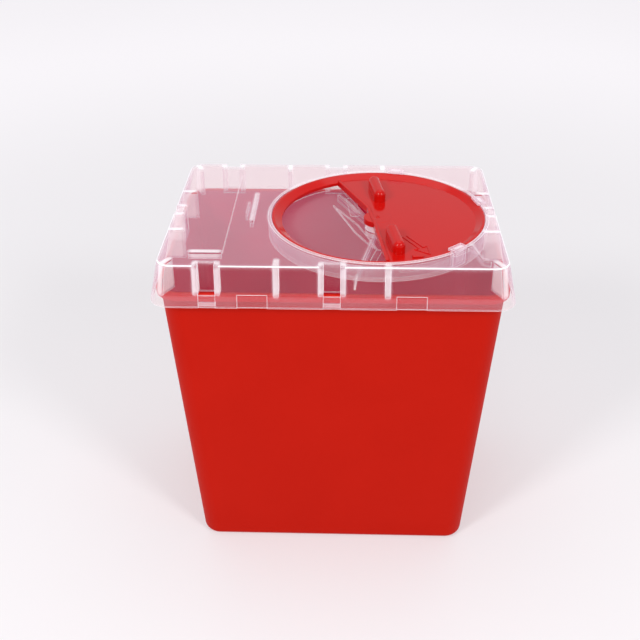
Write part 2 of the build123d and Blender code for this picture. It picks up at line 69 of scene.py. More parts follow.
# %% Measure the mouldings
MM = 0.001
bin_low, bin_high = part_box("container")
lid_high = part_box("lid")[1]
rotor_low, rotor_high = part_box("rotor")
turn_joint = frame["record"]["behaviour"]["joints"][0]
PIVOT = Vector(turn_joint["pos_m"])
ROTOR_R = (rotor_high[0] - rotor_low[0]) / 2
RIM_TOP = bin_high[2]
WELL_LIP = 0.4 * MM
DECK_TOP = lid_high[2] - WELL_LIP
ROTOR_TURN = math.radians(9)
print("rim", round(RIM_TOP, 4), "deck", round(DECK_TOP, 4), "rotor radius", round(ROTOR_R, 4))

# %% [markdown]
# ## Small helpers for node trees
# A node tree is easier to read when the lines that only make sockets and plain sums are short.
# `new_tree` makes a group and its named sockets, for shaders and for geometry alike. `maths` adds
# one Math node and returns its output, and `two_tints` mixes two colours by a mask.


# %% Helpers for node trees
def new_tree(name, kind, inputs, outputs):
    tree = bpy.data.node_groups.new(name, kind)
    for label, socket_type, value in inputs:
        socket = tree.interface.new_socket(label, in_out="INPUT", socket_type=socket_type)
        if value is not None:
            socket.default_value = value
    for label, socket_type in outputs:
        tree.interface.new_socket(label, in_out="OUTPUT", socket_type=socket_type)
    return tree, tree.nodes.new("NodeGroupInput"), tree.nodes.new("NodeGroupOutput")


def feed(tree, socket, value):
    if isinstance(value, bpy.types.NodeSocket):
        tree.links.new(value, socket)
    else:
        socket.default_value = value


def maths(tree, operation, *values):
    node = tree.nodes.new("ShaderNodeMath")
    node.operation = operation
    for index, value in enumerate(values):
        feed(tree, node.inputs[index], value)
    return node.outputs[0]


def add_node(tree, kind, **values):
    node = tree.nodes.new(kind)
    for label, value in values.items():
        feed(tree, node.inputs[label.replace("_", " ")], value)
    return node


def two_tints(tree, share, first, second):
    tint = tree.nodes.new("ShaderNodeMix")
    tint.data_type = "RGBA"
    tint.inputs["A"].default_value = first
    tint.inputs["B"].default_value = second
    tree.links.new(share, tint.inputs["Factor"])
    return tint.outputs["Result"]


def new_material(name):
    material = bpy.data.materials.new(name)
    material.use_nodes = True
    return material, material.node_tree, material.node_tree.nodes["Principled BSDF"]


# %% [markdown]
# ## Effect one: the grain of a moulding
# Moulded plastic is never quite even. A steel mould leaves a very fine grain on the skin, and the
# melt leaves broad soft clouds where it flowed. Two noise textures on Object coordinates make
# both. They are a group because every plastic here has them, each at its own scale.


# %% Moulded grain
def make_grain_effect():
    tree, given, result = new_tree(
        "moulded_grain", "ShaderNodeTree",
        [("Grain Scale", "NodeSocketFloat", 900.0), ("Flow Scale", "NodeSocketFloat", 18.0)],
        [("Grain", "NodeSocketFloat"), ("Flow", "NodeSocketFloat")])
    place = tree.nodes.new("ShaderNodeTexCoord").outputs["Object"]
    fine = add_node(tree, "ShaderNodeTexNoise", Vector=place, Scale=given.outputs["Grain Scale"],
                    Detail=3.0)
    flow = add_node(tree, "ShaderNodeTexNoise", Vector=place, Scale=given.outputs["Flow Scale"],
                    Detail=4.0, Roughness=0.45, Distortion=0.6)
    tree.links.new(fine.outputs["Fac"], result.inputs["Grain"])
    tree.links.new(flow.outputs["Fac"], result.inputs["Flow"])
    return tree


GRAIN = make_grain_effect()

# %% [markdown]
# ## Effect two: where an edge is
# A clear moulding shows its edges as white lines, and a coloured one is a little paler where its skin
# turns a corner. Both are painted light: painted glowing lines on the clear plastic and a painted
# sheen on the red. The Bevel node gives the normal that a rounded edge would have. Where that differs
# from the real normal there is an edge, so one minus their dot product is an edge mask.


# %% Edge mask
def make_edge_effect():
    tree, given, result = new_tree(
        "edge_mask", "ShaderNodeTree",
        [("Radius", "NodeSocketFloat", 0.001), ("Gain", "NodeSocketFloat", 4.0)],
        [("Edge", "NodeSocketFloat")])
    bevel = tree.nodes.new("ShaderNodeBevel")
    bevel.samples = 6
    tree.links.new(given.outputs["Radius"], bevel.inputs["Radius"])
    dot = tree.nodes.new("ShaderNodeVectorMath")
    dot.operation = "DOT_PRODUCT"
    tree.links.new(bevel.outputs["Normal"], dot.inputs[0])
    tree.links.new(tree.nodes.new("ShaderNodeNewGeometry").outputs["Normal"], dot.inputs[1])
    away = maths(tree, "SUBTRACT", 1.0, dot.outputs["Value"])
    gained = maths(tree, "MULTIPLY", away, given.outputs["Gain"])
    clamp = add_node(tree, "ShaderNodeClamp", Value=gained)
    tree.links.new(clamp.outputs["Result"], result.inputs["Edge"])
    return tree


EDGE = make_edge_effect()

# %% [markdown]
# ## Effect three: rounded shoulders
# An edge that is already rounded has no sharp corner for the Bevel node to find. But on a moulding of
# level tops and near-upright walls, only its rounded shoulders face halfway between. So a window on
# the height of the normal picks them out. The clear plastic uses it to paint glowing white lines on
# those shoulders, as on its edges.


# %% Shoulder mask
def make_shoulder_effect():
    tree, given, result = new_tree(
        "shoulder_mask", "ShaderNodeTree",
        [("Wall Limit", "NodeSocketFloat", 0.32), ("Top Limit", "NodeSocketFloat", 0.97)],
        [("Shoulder", "NodeSocketFloat")])
    normal = tree.nodes.new("ShaderNodeNewGeometry").outputs["Normal"]
    parts = add_node(tree, "ShaderNodeSeparateXYZ", Vector=normal)
    height = maths(tree, "ABSOLUTE", parts.outputs["Z"])
    wall_full = maths(tree, "ADD", given.outputs["Wall Limit"], 0.15)
    top_full = maths(tree, "SUBTRACT", given.outputs["Top Limit"], 0.05)
    above = add_node(tree, "ShaderNodeMapRange", Value=height)
    tree.links.new(given.outputs["Wall Limit"], above.inputs["From Min"])
    tree.links.new(wall_full, above.inputs["From Max"])
    below = add_node(tree, "ShaderNodeMapRange", Value=height)
    tree.links.new(given.outputs["Top Limit"], below.inputs["From Min"])
    tree.links.new(top_full, below.inputs["From Max"])
    both = maths(tree, "MULTIPLY", above.outputs["Result"], below.outputs["Result"])
    tree.links.new(both, result.inputs["Shoulder"])
    return tree


SHOULDER = make_shoulder_effect()


def add_effect(tree, effect, **values):
    node = tree.nodes.new("ShaderNodeGroup")
    node.node_tree = effect
    for label, value in values.items():
        node.inputs[label.replace("_", " ")].default_value = value
    return node


# %% [markdown]
# ## The red plastics
# Both red mouldings are polypropylene with a strong red pigment. Light passes a little way into
# it, so its shadows stay red and never go black. A low emission of the same red stands for that
# light. The bin has a matt, finely grained skin and the rotor a smooth glossy one, so one function
# makes both, with other numbers. Roughness follows the grain, so highlights break up softly.
# Daylight comes through the thin walls, so the inside and the thin rim glow more than the outside:
# they are lit copies of the same red, with paler colours and a stronger emission that paint that
# light. The inside's colour also holds a painted mauve tint for the light that the milky lid above it
# scatters in.


# %% Red plastics
EDGE_REACH = 0.8 * MM
EDGE_SHEEN_LIFT = (1.25, 3.0, 3.0)
BUMP_DEPTH = 0.2 * MM
ROUGH_SPREAD = 0.07
PLASTIC_IOR = 1.49


def red_plastic(name, deep, light, roughness, specular, grain_scale, bump, glow, edge_gain):
    material, tree, shader = new_material(name)
    grain = add_effect(tree, GRAIN, Grain_Scale=grain_scale, Flow_Scale=16.0)
    cloud = two_tints(tree, grain.outputs["Flow"], (*deep, 1), (*light, 1))
    edge = add_effect(tree, EDGE, Radius=EDGE_REACH, Gain=edge_gain)
    # Painted sheen: the colour is painted paler along the skin's edges.
    paler = tree.nodes.new("ShaderNodeMix")
    paler.data_type = "RGBA"
    tree.links.new(edge.outputs["Edge"], paler.inputs["Factor"])
    tree.links.new(cloud, paler.inputs["A"])
    lifted = [min(1, part * lift) for part, lift in zip(light, EDGE_SHEEN_LIFT)]
    paler.inputs["B"].default_value = (*lifted, 1)
    tree.links.new(paler.outputs["Result"], shader.inputs["Base Color"])
    rough = add_node(tree, "ShaderNodeMapRange", Value=grain.outputs["Grain"],
                     To_Min=roughness - ROUGH_SPREAD, To_Max=roughness + ROUGH_SPREAD)
    tree.links.new(rough.outputs["Result"], shader.inputs["Roughness"])
    bumper = add_node(tree, "ShaderNodeBump", Height=grain.outputs["Grain"], Strength=bump,
                      Distance=BUMP_DEPTH)
    tree.links.new(bumper.outputs["Normal"], shader.inputs["Normal"])
    shader.inputs["Specular IOR Level"].default_value = specular
    shader.inputs["Emission Color"].default_value = (*light, 1)
    shader.inputs["Emission Strength"].default_value = glow
    shader.inputs["IOR"].default_value = PLASTIC_IOR
    return material


RED_BIN = red_plastic(
    "red_bin_plastic", (0.40, 0.006, 0.001), (0.45, 0.008, 0.002), roughness=0.50,
    specular=0.06, grain_scale=1400.0, bump=0.25, glow=0.17, edge_gain=0.6)
# A lit copy for the inside: paler red, stronger painted glow and a painted mauve tint.
RED_INSIDE = red_plastic(
    "red_bin_inside", (0.46, 0.006, 0.045), (0.50, 0.008, 0.050), roughness=0.55,
    specular=0.05, grain_scale=1400.0, bump=0.2, glow=0.26, edge_gain=0.4)
# A lit copy for the rim: paler red and a stronger painted glow.
RED_RIM = red_plastic(
    "red_bin_rim", (0.52, 0.008, 0.003), (0.56, 0.010, 0.004), roughness=0.42,
    specular=0.10, grain_scale=1400.0, bump=0.2, glow=0.20, edge_gain=0.8)
RED_ROTOR = red_plastic(
    "red_rotor_plastic", (0.49, 0.003, 0.002), (0.53, 0.005, 0.003), roughness=0.12,
    specular=0.30, grain_scale=700.0, bump=0.03, glow=0.11, edge_gain=1.2)
print("red finishes", RED_BIN.name, RED_INSIDE.name, RED_RIM.name, RED_ROTOR.name)

# %% [markdown]
# ## The clear plastic: how milky it is
# Natural polypropylene is not glass. It is clear enough to see the red bin through, but milky, and
# the milk adds up with thickness: a thin wall is nearly clear, and a post or a rib end is white.
# Real volume scattering is slow and noisy in such thin walls. Instead the milk follows the
# thickness behind each point. An Ambient Occlusion node that looks inside the piece measures it:
# in a thin wall its rays get out at once, in a post they don't. On the far side of a wall that
# measure points the wrong way, so back faces keep the thin value.

# %% Thickness behind a point
THICKNESS_REACH = 3.5 * MM
THIN_READING, THICK_READING = 0.30, 0.66


def thickness(tree):
    depth = tree.nodes.new("ShaderNodeAmbientOcclusion")
    depth.inside = True
    depth.only_local = True
    depth.samples = 16
    depth.inputs["Distance"].default_value = THICKNESS_REACH
    bulk = add_node(tree, "ShaderNodeMapRange", Value=depth.outputs["AO"], From_Min=THIN_READING,
                    From_Max=THICK_READING)
    back = tree.nodes.new("ShaderNodeNewGeometry").outputs["Backfacing"]
    front = maths(tree, "SUBTRACT", 1.0, back)
    return depth.outputs["AO"], maths(tree, "MULTIPLY", bulk.outputs["Result"], front)


# %% [markdown]
# ## The clear plastic: where it is frosted
# The deck has a fine frosting, and so has the skirt that hangs over the bin's rim. Two windows on
# height pick them out, and the deck's also asks for a level surface. The skirt's thinned panels
# look clearer than the rest of it, so there the frosting fades with the measured thickness.

# %% Frosting
DECK_WINDOW = (DECK_TOP - 3 * MM, DECK_TOP - 2 * MM)
SKIRT_WINDOW = (RIM_TOP + 0.6 * MM, RIM_TOP - 0.2 * MM)
LEVEL_WINDOW = (0.95, 0.98)
PANEL_READING, WALL_READING = 0.08, 0.19
SKIRT_FROST = 0.7


def window(tree, value, limits, top=1.0):
    return add_node(tree, "ShaderNodeMapRange", Value=value, From_Min=limits[0],
                    From_Max=limits[1], To_Max=top).outputs["Result"]


def frosting(tree, reading):
    place = tree.nodes.new("ShaderNodeTexCoord").outputs["Object"]
    height = add_node(tree, "ShaderNodeSeparateXYZ", Vector=place).outputs["Z"]
    normal = tree.nodes.new("ShaderNodeNewGeometry").outputs["Normal"]
    tilt = add_node(tree, "ShaderNodeSeparateXYZ", Vector=normal).outputs["Z"]
    level = window(tree, maths(tree, "ABSOLUTE", tilt), LEVEL_WINDOW)
    deck = maths(tree, "MULTIPLY", window(tree, height, DECK_WINDOW), level)
    full_wall = window(tree, reading, (PANEL_READING, WALL_READING), SKIRT_FROST)
    skirt = maths(tree, "MULTIPLY", window(tree, height, SKIRT_WINDOW), full_wall)
    return maths(tree, "MAXIMUM", deck, skirt)


# %% [markdown]
# ## The clear plastic: putting it together
# Edges, shoulders and surfaces seen at a grazing angle are milkier too, so they are added to the milk
# of the thickness and the frosting. Milky plastic also has two tints. It scatters a little mauve over
# something dark, and it warms what is bright behind it. So the scattered part and the clear part are
# two shaders, each with its own tint, mixed by the milk. The thin tint's pink is painted light, red
# light bounced up from the bin. The scattered part also glows: its emission is painted light, mauve in
# thin walls and white along edges, shoulders and thick parts.

# %% Clear plastic
# Painted light: the thin tint's pink stands for red light from the bin, and the glow colours are the
# milk's painted glow.
THIN_TINT, THICK_TINT = (0.86, 0.70, 0.77, 1), (0.87, 0.85, 0.87, 1)
THIN_PAINTED_GLOW, THICK_PAINTED_GLOW = (0.10, 0.06, 0.14, 1), (0.27, 0.29, 0.31, 1)
WARM_CLEAR = (1.0, 0.975, 0.96, 1)
GRAZING_FALLOFF, GRAZING_MILK = 4.0, 0.62
MOST_MILK = 0.96


def clear_plastic(name, thin, thick, line, frost):
    material, tree, shader = new_material(name)
    grain = add_effect(tree, GRAIN, Grain_Scale=500.0, Flow_Scale=30.0)
    edge = add_effect(tree, EDGE, Radius=EDGE_REACH, Gain=4.0)
    shoulder = add_effect(tree, SHOULDER)
    whiter = maths(tree, "MAXIMUM", edge.outputs["Edge"], shoulder.outputs["Shoulder"])
    reading, bulk = thickness(tree)
    milk = add_node(tree, "ShaderNodeMapRange", Value=bulk, To_Min=thin, To_Max=thick)
    cloudy = add_node(tree, "ShaderNodeMapRange", Value=grain.outputs["Flow"], From_Min=0.3,
                      From_Max=0.7, To_Min=0.9, To_Max=1.12)
    clouded = maths(tree, "MULTIPLY", milk.outputs["Result"], cloudy.outputs["Result"])
    body = maths(tree, "ADD", clouded, maths(tree, "MULTIPLY", frosting(tree, reading), frost))
    facing = add_node(tree, "ShaderNodeLayerWeight", Blend=0.5).outputs["Facing"]
    grazing = maths(tree, "MULTIPLY", maths(tree, "POWER", facing, GRAZING_FALLOFF), GRAZING_MILK)
    lined = maths(tree, "ADD", body, maths(tree, "MULTIPLY", whiter, line))
    solid = maths(tree, "MINIMUM", maths(tree, "ADD", lined, grazing), MOST_MILK)
    white = maths(tree, "MAXIMUM", whiter, bulk)
    tree.links.new(two_tints(tree, white, THIN_TINT, THICK_TINT), shader.inputs["Base Color"])
    # Painted glow: the milk emits mauve light when thin and white light at edges, shoulders and thick
    # parts.
    tree.links.new(two_tints(tree, white, THIN_PAINTED_GLOW, THICK_PAINTED_GLOW), shader.inputs["Emission Color"])
    shader.inputs["Emission Strength"].default_value = 1.0
    rough = add_node(tree, "ShaderNodeMapRange", Value=grain.outputs["Grain"], To_Min=0.18,
                     To_Max=0.34)
    tree.links.new(rough.outputs["Result"], shader.inputs["Roughness"])
    shader.inputs["IOR"].default_value = PLASTIC_IOR
    through = tree.nodes.new("ShaderNodeBsdfTransparent")
    through.inputs["Color"].default_value = WARM_CLEAR
    blend = tree.nodes.new("ShaderNodeMixShader")
    tree.links.new(solid, blend.inputs["Fac"])
    tree.links.new(through.outputs["BSDF"], blend.inputs[1])
    tree.links.new(shader.outputs["BSDF"], blend.inputs[2])
    tree.links.new(blend.outputs["Shader"], tree.nodes["Material Output"].inputs["Surface"])
    return material


CLEAR_LID = clear_plastic("clear_lid_plastic", thin=0.04, thick=0.52, line=0.62, frost=0.06)
CLEAR_CLIP = clear_plastic("clear_clip_plastic", thin=0.22, thick=0.65, line=0.55, frost=0.0)
print("clear finishes", CLEAR_LID.name, CLEAR_CLIP.name)

# %% [markdown]
# ## Tools for the swept pieces
# A section is drawn as a small poly curve: how far out, and how high. Geometry Nodes carry it along
# a path, and `bake` turns the result into a plain mesh at the origin, closes its open loops, turns
# its faces outwards and gives it weighted normals, so that long flat walls shade flat between their
# round corners. The modifier is gone before the piece is handed to the frame.


# %% Sections, paths and baking
def draw_curve(name, points, closed):
    data = bpy.data.curves.new(name, "CURVE")
    data.dimensions = "3D"
    spline = data.splines.new("POLY")
    spline.points.add(len(points) - 1)
    for point, place in zip(spline.points, points):
        point.co = (*place, 1.0)
    spline.use_cyclic_u = closed
    helper = bpy.data.objects.new(name, data)
    scene.collection.objects.link(helper)
    return helper


def draw_section(name, points, closed=True):
    # the sweep turns the section's second axis downwards, so heights go in with their sign changed
    return draw_curve(name, [(out, -high, 0.0) for out, high in points], closed)


def set_inputs(modifier, tree, values):
    for item in tree.interface.items_tree:
        if item.in_out == "INPUT" and item.name in values:
            modifier[item.identifier] = values[item.name]


def finish_mesh(mesh):
    shape = bmesh.new()
    shape.from_mesh(mesh)
    bmesh.ops.remove_doubles(shape, verts=shape.verts, dist=1e-6)
    open_edges = [edge for edge in shape.edges if edge.is_boundary]
    if open_edges:
        bmesh.ops.holes_fill(shape, edges=open_edges, sides=0)
    bmesh.ops.recalc_face_normals(shape, faces=shape.faces)
    if shape.calc_volume(signed=True) < 0:
        bmesh.ops.reverse_faces(shape, faces=shape.faces)
    shape.to_mesh(mesh)
    shape.free()
    mesh.shade_smooth()


def weigh_normals(piece, angle):
    piece.data.set_sharp_from_angle(angle=math.radians(angle))
    weigh = piece.modifiers.new("weighted_normals", "WEIGHTED_NORMAL")
    weigh.keep_sharp = True
    evaluated = piece.evaluated_get(bpy.context.evaluated_depsgraph_get())
    settled = bpy.data.meshes.new_from_object(evaluated)
    piece.modifiers.remove(weigh)
    piece.data = settled
    settled.name = piece.name


def bake(name, tree, values, helpers=(), move=None, angle=35):
    start = bpy.data.meshes.new(name + "_start")
    piece = bpy.data.objects.new(name, start)
    scene.collection.objects.link(piece)
    modifier = piece.modifiers.new("build", "NODES")
    modifier.node_group = tree
    set_inputs(modifier, tree, values)
    evaluated = piece.evaluated_get(bpy.context.evaluated_depsgraph_get())
    mesh = bpy.data.meshes.new_from_object(evaluated)
    piece.modifiers.remove(modifier)
    piece.data = mesh
    mesh.name = name
    if move is not None:
        mesh.transform(move)
    finish_mesh(mesh)
    weigh_normals(piece, angle)
    for helper in helpers:
        bpy.data.objects.remove(helper)
    print(name, len(piece.data.polygons), "faces")
    return piece


# %% [markdown]
# ## The bin
# The bin is one moulding with an even wall: a standing rim round a recessed base, four walls that
# lean out, and an outward rim with a turned-down lip. It could be a subdivided box with insets, but
# then each size would be many clicks away. As a rule it is short: the wall's section goes round a
# rounded rectangle, and every point then leans in by its share of the draft. The end walls lean
# more than the front and back ones, so the draft is a vector.


# %% Geometry Nodes: a section led round a rounded rectangle
def make_bin_tree():
    tree, given, result = new_tree(
        "leaning_bin", "GeometryNodeTree",
        [("Section", "NodeSocketObject", None), ("Width", "NodeSocketFloat", 0.24),
         ("Depth", "NodeSocketFloat", 0.18), ("Height", "NodeSocketFloat", 0.23),
         ("Corner Radius", "NodeSocketFloat", 0.014), ("Draft", "NodeSocketVector", (0, 0, 0)),
         ("Corner Steps", "NodeSocketInt", 14), ("Round Steps", "NodeSocketInt", 4),
         ("Section Rounding", "NodeSocketFloat", 0.001), ("Finish", "NodeSocketMaterial", None)],
        [("Geometry", "NodeSocketGeometry")])
    path = add_node(tree, "GeometryNodeCurvePrimitiveQuadrilateral", Width=given.outputs["Width"],
                    Height=given.outputs["Depth"])
    corners = tree.nodes.new("GeometryNodeFilletCurve")
    corners.mode = "POLY"
    tree.links.new(path.outputs["Curve"], corners.inputs["Curve"])
    tree.links.new(given.outputs["Corner Radius"], corners.inputs["Radius"])
    tree.links.new(given.outputs["Corner Steps"], corners.inputs["Count"])
    section = add_node(tree, "GeometryNodeObjectInfo", Object=given.outputs["Section"])
    soft = tree.nodes.new("GeometryNodeFilletCurve")
    soft.mode = "POLY"
    soft.inputs["Limit Radius"].default_value = True
    tree.links.new(section.outputs["Geometry"], soft.inputs["Curve"])
    tree.links.new(given.outputs["Section Rounding"], soft.inputs["Radius"])
    tree.links.new(given.outputs["Round Steps"], soft.inputs["Count"])
    sweep = add_node(tree, "GeometryNodeCurveToMesh", Curve=corners.outputs["Curve"])
    tree.links.new(soft.outputs["Curve"], sweep.inputs["Profile Curve"])
    parts = add_node(tree, "ShaderNodeSeparateXYZ",
                     Vector=tree.nodes.new("GeometryNodeInputPosition").outputs["Position"])
    drop = maths(tree, "DIVIDE", parts.outputs["Z"], given.outputs["Height"])
    share = maths(tree, "SUBTRACT", 1.0, drop)
    draft = add_node(tree, "ShaderNodeSeparateXYZ", Vector=given.outputs["Draft"])
    lean = tree.nodes.new("ShaderNodeCombineXYZ")
    for axis in ("X", "Y"):
        side = maths(tree, "SIGN", parts.outputs[axis])
        inward = maths(tree, "MULTIPLY", maths(tree, "MULTIPLY", side, draft.outputs[axis]), -1.0)
        tree.links.new(maths(tree, "MULTIPLY", inward, share), lean.inputs[axis])
    moved = add_node(tree, "GeometryNodeSetPosition", Geometry=sweep.outputs["Mesh"],
                     Offset=lean.outputs["Vector"])
    real = add_node(tree, "GeometryNodeRealizeInstances", Geometry=moved.outputs["Geometry"])
    dressed = add_node(tree, "GeometryNodeSetMaterial", Geometry=real.outputs["Geometry"],
                       Material=given.outputs["Finish"])
    tree.links.new(dressed.outputs["Geometry"], result.inputs["Geometry"])
    return tree


# %% Build the bin
RIM_OUT_X = 2.6 * MM
RIM_OUT_Y = 4.0 * MM
CORNER_R = 14.0 * MM
RIM_LIP = 1.3 * MM
RIM_THICK = 2.0 * MM
RIM_DEPTH = 4.4 * MM
BIN_WALL = 1.8 * MM
BIN_FLOOR = 2.6 * MM
BIN_DRAFT = (15.2 * MM, 10.5 * MM, 0.0)
FOOT_WIDTH = 13.0 * MM
FOOT_RECESS = 1.2 * MM
BASE_ROUND = 5.0 * MM
WALL_SOFTNESS = 0.3 * MM


def quarter(out, high, radius, start, stop, steps=5):
    points = []
    for index in range(steps + 1):
        angle = math.radians(start + (stop - start) * index / steps)
        points.append((out + radius * math.cos(angle), high + radius * math.sin(angle)))
    return points


bin_section = [(-FOOT_WIDTH, FOOT_RECESS), (-FOOT_WIDTH, 0.0)]
bin_section += quarter(-BASE_ROUND, BASE_ROUND, BASE_ROUND, -90, 0)
bin_section += [(0.0, RIM_TOP), (-BIN_WALL, RIM_TOP)]
bin_section += quarter(-BASE_ROUND, BIN_FLOOR + BASE_ROUND - BIN_WALL, BASE_ROUND - BIN_WALL, 0, -90)
bin_section.append((-FOOT_WIDTH, BIN_FLOOR))

LEANING_WALL = make_bin_tree()
rim_width = bin_high[0] - bin_low[0]
rim_depth = bin_high[1] - bin_low[1]
bin_helper = draw_section("bin_section", bin_section, closed=False)
bin_wall = bake("bin_wall", LEANING_WALL, {
    "Section": bin_helper, "Width": rim_width - 2 * RIM_OUT_X, "Depth": rim_depth - 2 * RIM_OUT_Y,
    "Height": RIM_TOP, "Corner Radius": CORNER_R, "Draft": BIN_DRAFT,
    "Section Rounding": WALL_SOFTNESS, "Finish": RED_BIN}, [bin_helper])

# %% [markdown]
# ## The bin's inside
# One sweep makes both skins of the wall. The faces that look towards the middle, and the floor, get
# the inside material as a second material of the same mesh. It is a little rougher, and it carries
# painted light: a paler red, a stronger glow and a painted mauve tint.

# %% Finish the bin's inside
bin_wall.data.materials.append(RED_INSIDE)
inner_faces = 0
for face in bin_wall.data.polygons:
    out = Vector((face.center.x, face.center.y, 0)).normalized()
    faces_in = face.normal.dot(out) < -0.2
    is_floor = face.normal.z > 0.5 and face.center.z < RIM_TOP / 2
    if (faces_in or is_floor) and face.center.z > BIN_FLOOR / 2:
        face.material_index = 1
        inner_faces += 1
print("faces inside the bin", inner_faces)

# %% [markdown]
# ## The bin's rim
# The rim is part of the same moulding, but it stands further out in front than at the ends. The same
# tree makes it from its own section and path, with no draft, and its inner edge ends inside the
# wall, where it can't be seen.

# %% Build the rim
RIM_OVERLAP = 0.1 * MM
RIM_SOFTNESS = 0.45 * MM
rim_in = RIM_OUT_X + BIN_WALL - RIM_OVERLAP
rim_section = [
    (-rim_in, RIM_TOP - RIM_THICK), (-RIM_LIP, RIM_TOP - RIM_THICK), (-RIM_LIP, RIM_TOP - RIM_DEPTH),
    (0.0, RIM_TOP - RIM_DEPTH), (0.0, RIM_TOP), (-rim_in, RIM_TOP)]
rim_helper = draw_section("rim_section", rim_section)
bin_rim = bake("bin_rim", LEANING_WALL, {
    "Section": rim_helper, "Width": rim_width, "Depth": rim_depth, "Height": RIM_TOP,
    "Corner Radius": CORNER_R + RIM_OUT_X, "Draft": (0.0, 0.0, 0.0),
    "Section Rounding": RIM_SOFTNESS, "Finish": RED_RIM}, [rim_helper])

# %% [markdown]
# ## The rotor's ring
# The rotor is a disc with half of it cut away. Its rim is a flat lip, then a dished ring that slopes
# in to the plate, with a short skirt below that keeps it round. On a lathe this would be a Spin.
# Here the same section tool goes round a circle, with its sizes as named inputs.


# %% Geometry Nodes: a section led round a circle
def make_ring_tree():
    tree, given, result = new_tree(
        "turned_ring", "GeometryNodeTree",
        [("Section", "NodeSocketObject", None), ("Radius", "NodeSocketFloat", 0.079),
         ("Steps", "NodeSocketInt", 192), ("Section Rounding", "NodeSocketFloat", 0.0005),
         ("Finish", "NodeSocketMaterial", None)],
        [("Geometry", "NodeSocketGeometry")])
    path = add_node(tree, "GeometryNodeCurvePrimitiveCircle", Resolution=given.outputs["Steps"],
                    Radius=given.outputs["Radius"])
    section = add_node(tree, "GeometryNodeObjectInfo", Object=given.outputs["Section"])
    soft = tree.nodes.new("GeometryNodeFilletCurve")
    soft.mode = "POLY"
    soft.inputs["Limit Radius"].default_value = True
    soft.inputs["Count"].default_value = 4
    tree.links.new(section.outputs["Geometry"], soft.inputs["Curve"])
    tree.links.new(given.outputs["Section Rounding"], soft.inputs["Radius"])
    sweep = add_node(tree, "GeometryNodeCurveToMesh", Curve=path.outputs["Curve"])
    tree.links.new(soft.outputs["Curve"], sweep.inputs["Profile Curve"])
    real = add_node(tree, "GeometryNodeRealizeInstances", Geometry=sweep.outputs["Mesh"])
    dressed = add_node(tree, "GeometryNodeSetMaterial", Geometry=real.outputs["Geometry"],
                       Material=given.outputs["Finish"])
    tree.links.new(dressed.outputs["Geometry"], result.inputs["Geometry"])
    return tree


# %% Build the ring
LIP_WIDTH = 1.8 * MM
RING_SLOPE = 5.6 * MM
RING_DISH = 3.4 * MM
RING_WALL = 2.0 * MM
SKIRT = 6.0 * MM
SKIRT_WALL = 1.6 * MM
RING_SOFTNESS = 0.5 * MM
DISH_R = ROTOR_R - LIP_WIDTH - RING_SLOPE
ON_PIVOT = Matrix.Translation((PIVOT.x, PIVOT.y, DECK_TOP)) @ Matrix.Rotation(ROTOR_TURN, 4, "Z")

under = RING_DISH + RING_WALL
slope_in = -LIP_WIDTH - RING_SLOPE
skirt_out = slope_in + RING_WALL
skirt_in = skirt_out - SKIRT_WALL
ring_section = [
    (-LIP_WIDTH, 0.0), (0.0, 0.0), (0.0, -RING_WALL), (skirt_out, -under), (skirt_out, -SKIRT),
    (skirt_in, -SKIRT), (skirt_in, -under), (slope_in, -under), (slope_in, -RING_DISH)]
ring_helper = draw_section("ring_section", ring_section)
rotor_ring = bake("rotor_ring", make_ring_tree(), {
    "Section": ring_helper, "Radius": ROTOR_R, "Section Rounding": RING_SOFTNESS, "Finish": RED_ROTOR},
    [ring_helper], ON_PIVOT)

# %% [markdown]
# ## The rotor's plate
# The plate is flat, so it is an outline given a thickness: an arc just inside the ring, and a cut
# edge that bends at the hub and runs round it. The outline is drawn as points in the rotor's own
# frame, made a face and extruded up. The hub and the pin below it are outlines too, and a bevel
# rounds the hub's top edge.


# %% Build the plate
PLATE_SINK = 3.0 * MM
PLATE_THICK = 1.8 * MM
HUB_R = 10.5 * MM
HUB_DEPTH = 4.0 * MM
HUB_RISE = 0.1 * MM
PIN_R = 4.0 * MM
TOP_ROUND = 0.4 * MM
SINK_IN = 0.5 * MM
EDGE_POINTS = [(-0.27, 1.0), (-0.06, 0.233), (-0.057, -0.14), (-0.079, -0.99)]
edge_path = [(x * DISH_R, y * DISH_R) for x, y in EDGE_POINTS]


def arc(radius, start, stop, steps):
    points = []
    for index in range(steps + 1):
        angle = start + (stop - start) * index / steps
        points.append((radius * math.cos(angle), radius * math.sin(angle)))
    return points


def disc(radius, corners):
    return arc(radius, 0, 2 * math.pi * (corners - 1) / corners, corners - 1)


def solid_outline(name, outline, top, bottom, rounding=0.0):
    shape = bmesh.new()
    corners = [shape.verts.new((x, y, bottom)) for x, y in outline]
    face = shape.faces.new(corners)
    lifted = bmesh.ops.extrude_face_region(shape, geom=[face])["geom"]
    raised = [item for item in lifted if isinstance(item, bmesh.types.BMVert)]
    bmesh.ops.translate(shape, verts=raised, vec=(0, 0, top - bottom))
    level = [edge for edge in shape.edges if all(abs(v.co.z - top) < 1e-7 for v in edge.verts)]
    if rounding > 0:
        bmesh.ops.bevel(shape, geom=level, offset=rounding, segments=3, profile=0.5, affect="EDGES")
    mesh = bpy.data.meshes.new(name)
    shape.to_mesh(mesh)
    shape.free()
    mesh.transform(ON_PIVOT)
    mesh.materials.append(RED_ROTOR)
    piece = bpy.data.objects.new(name, mesh)
    scene.collection.objects.link(piece)
    finish_mesh(mesh)
    weigh_normals(piece, 40)
    print(name, len(piece.data.polygons), "faces")
    return piece


